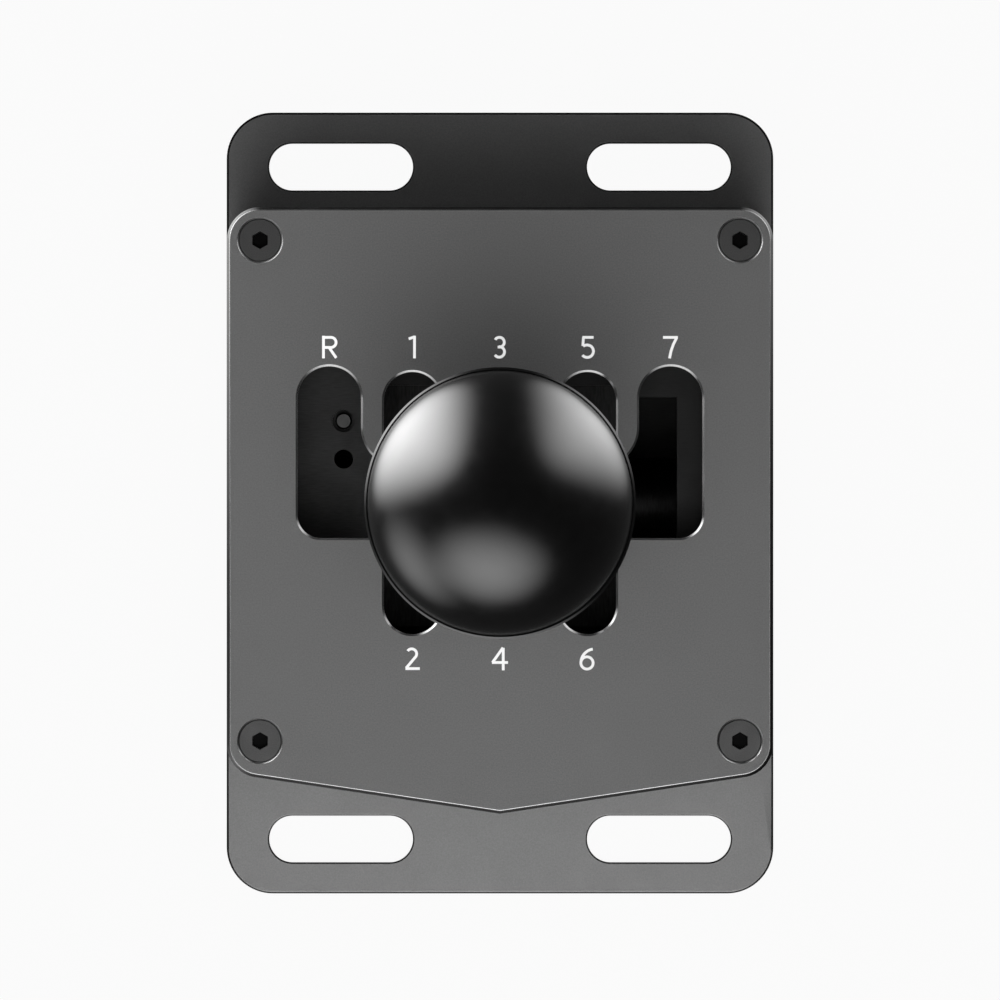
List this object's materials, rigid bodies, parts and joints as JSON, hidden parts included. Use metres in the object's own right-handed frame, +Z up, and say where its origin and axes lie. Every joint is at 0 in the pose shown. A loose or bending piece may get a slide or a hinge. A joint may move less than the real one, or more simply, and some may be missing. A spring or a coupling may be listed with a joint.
{
  "type": "gated sim racing gear shifter",
  "caption": "Driving-simulator gear shifter: knobbed lever in a gated metal housing on a slotted base plate, turning on a sprung gimbal with a reverse lock-out.",
  "frame": {"origin": "middle of the base plate's underside, straight below the lever in neutral", "axes": "+Z up; +Y away from the driver, towards the odd gears; +X to the driver's right"},
  "size_m": [0.098, 0.14, 0.2093],
  "materials": {
    "anodised_housing": "fine bead-blasted, dark grey anodised",
    "anodised_cover": "fine bead-blasted, dark grey anodised",
    "cover_screw_steel": "blackened steel, satin",
    "bare_steel": "zinc-plated or bare steel, satin",
    "dark_plate": "black anodised, matt",
    "gimbal_metal": "blackened steel, satin",
    "shaft_steel": "ground steel",
    "lever_steel": "black oxide, satin",
    "spring_steel": "drawn spring wire",
    "bronze": "sintered bronze",
    "brass": "turned brass",
    "magnet": "nickel-plated magnet",
    "board": "solder-masked circuit board",
    "socket_plastic": "moulded black plastic",
    "knob_plastic": "black, satin gloss"
  },
  "bodies": {
    "chassis": {"base_plate": "anodised_housing", "housing": "anodised_housing", "top_cover": "anodised_cover", "cover_screws": "cover_screw_steel", "base_screws": "bare_steel", "front_bearing_block": "dark_plate", "rear_bearing_block": "dark_plate", "block_screws": "bare_steel", "select_bushes": "bronze", "upper_frame": "dark_plate", "frame_pillars": "bare_steel", "pillar_screws": "bare_steel", "frame_screws": "bare_steel", "lockout_bracket": "dark_plate", "lockout_plate": "dark_plate", "lockout_screws": "bare_steel", "bracket_screws": "bare_steel", "locating_pin": "bare_steel", "main_board": "board", "board_standoffs": "brass", "board_screws": "bare_steel", "data_jack": "socket_plastic", "select_sensor_board": "board", "sensor_spacers": "brass", "sensor_screws": "bare_steel", "rocker_stop": "bare_steel", "reverse_spring": "spring_steel", "left_centring_spring": "spring_steel", "right_centring_spring": "spring_steel"},
    "rocker": {"reverse_rocker": "gimbal_metal"},
    "gimbal": {"gimbal_frame": "gimbal_metal", "front_select_shaft": "shaft_steel", "rear_select_shaft": "shaft_steel", "shaft_set_screws": "bare_steel", "shift_bushes": "bronze", "stop_pin": "bare_steel", "shift_sensor_board": "board", "select_magnet": "magnet", "detent_barrel": "brass", "detent_spring": "spring_steel"},
    "detent": {"detent_pin": "bare_steel"},
    "carrier": {"lever_carrier": "shaft_steel", "shift_axle": "shaft_steel", "axle_set_screw": "bare_steel", "shift_magnet": "magnet", "lever_bush": "bronze", "return_spring": "spring_steel"},
    "lever": {"lever_shaft": "lever_steel", "guide_pin": "bare_steel", "lockout_collar": "dark_plate", "collar_set_screw": "bare_steel", "lock_nut": "lever_steel", "knob_insert": "brass", "knob_cup": "knob_plastic", "knob_dome": "knob_plastic"}
  },
  "joints": [
    {"name": "rocker_reverse", "type": "hinge", "parent": "chassis", "child": "rocker", "pos_m": [0, 0, 0.032], "axis": [0, -1, 0], "range_deg": [0, 10.85], "stiffness_Nm_per_rad": 6, "springref_deg": -2.86, "deforming": ["reverse_spring"]},
    {"name": "gimbal_select", "type": "hinge", "parent": "rocker", "child": "gimbal", "pos_m": [0, 0, 0.032], "axis": [0, 1, 0], "range_deg": [-12.49, 23.34], "stiffness_Nm_per_rad": 2.5, "deforming": ["left_centring_spring", "right_centring_spring"]},
    {"name": "detent_press", "type": "slide", "parent": "gimbal", "child": "detent", "axis": [0, 0, 1], "range_m": [0, 0.0012], "stiffness_N_per_m": 600, "deforming": ["detent_spring"]},
    {"name": "lever_shift", "type": "hinge", "parent": "gimbal", "child": "carrier", "pos_m": [0, 0, 0.032], "axis": [-1, 0, 0], "range_deg": [-14, 14]},
    {"name": "lever_press", "type": "slide", "parent": "carrier", "child": "lever", "axis": [0, 0, -1], "range_m": [0, 0.005], "stiffness_N_per_m": 1500, "springref_m": -0.006, "deforming": ["return_spring"]}
  ]
}
